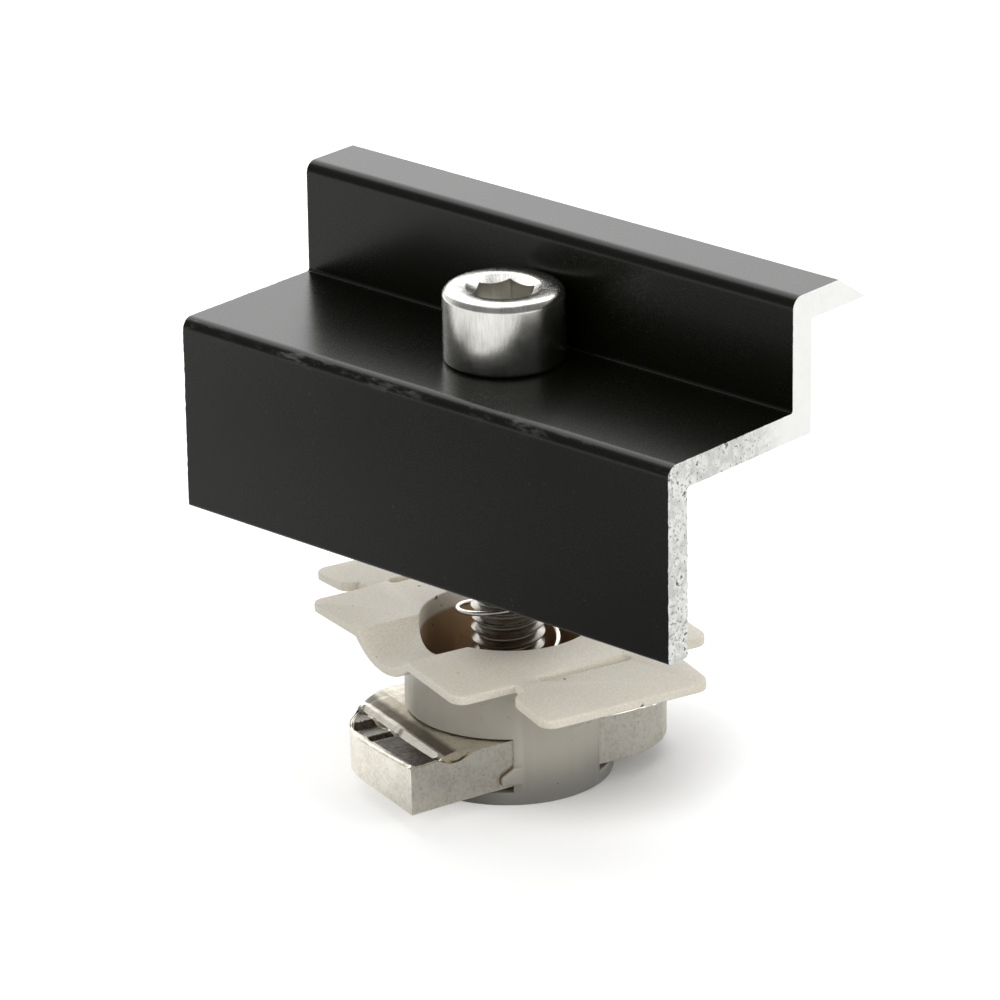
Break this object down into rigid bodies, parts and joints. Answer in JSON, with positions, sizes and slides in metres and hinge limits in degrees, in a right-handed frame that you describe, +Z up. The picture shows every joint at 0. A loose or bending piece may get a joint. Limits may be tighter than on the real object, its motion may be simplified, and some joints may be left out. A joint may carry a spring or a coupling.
{
  "type": "solar end clamp",
  "caption": "Z-shaped end clamp that holds a framed solar module down on a slotted rail, with a socket screw, a coil spring and a quarter-turn rail nut in a moulded retainer.",
  "frame": {"origin": "on the floor plane under the screw's axis, at the middle of the retainer's foot ring", "axes": "+X along the clamp profile, +Y from the leg to the module side that the flange reaches over, +Z up along the screw"},
  "size_m": [0.068, 0.0408, 0.0591],
  "materials": {
    "anodised_profile": "black anodised, satin, with bare sawn ends",
    "screw_steel": "bright stainless, drawn marks",
    "spring_wire": "bright stainless wire",
    "moulded_plastic": "fine matt moulding, warm light grey",
    "nut_steel": "rough cast or pressed, dull bright"
  },
  "bodies": {
    "rail_unit": {"nut_retainer": "moulded_plastic", "rail_nut": "nut_steel"},
    "spring_coil": {"compression_spring": "spring_wire"},
    "clamp": {"clamp_profile": "anodised_profile"},
    "screw": {"socket_screw": "screw_steel"}
  },
  "joints": [
    {"name": "rail_unit_swivel", "type": "hinge", "parent": "rail_unit", "child": "spring_coil", "pos_m": [0, 0, 0.0075], "axis": [0, 0, 1], "range_deg": [-17.7, 72.3]},
    {"name": "clamp_travel", "type": "slide", "parent": "spring_coil", "child": "clamp", "axis": [0, 0, 1], "range_m": [-0.007, 0.0025], "deforming": ["compression_spring"]},
    {"name": "screw_turn", "type": "hinge", "parent": "clamp", "child": "screw", "pos_m": [0, 0, 0.0466], "axis": [0, 0, 1], "range_deg": [-2017, 721]}
  ],
  "couplings": [
    {"joint": "screw_turn", "follows": "clamp_travel", "rad_per_m": 5026.5}
  ]
}
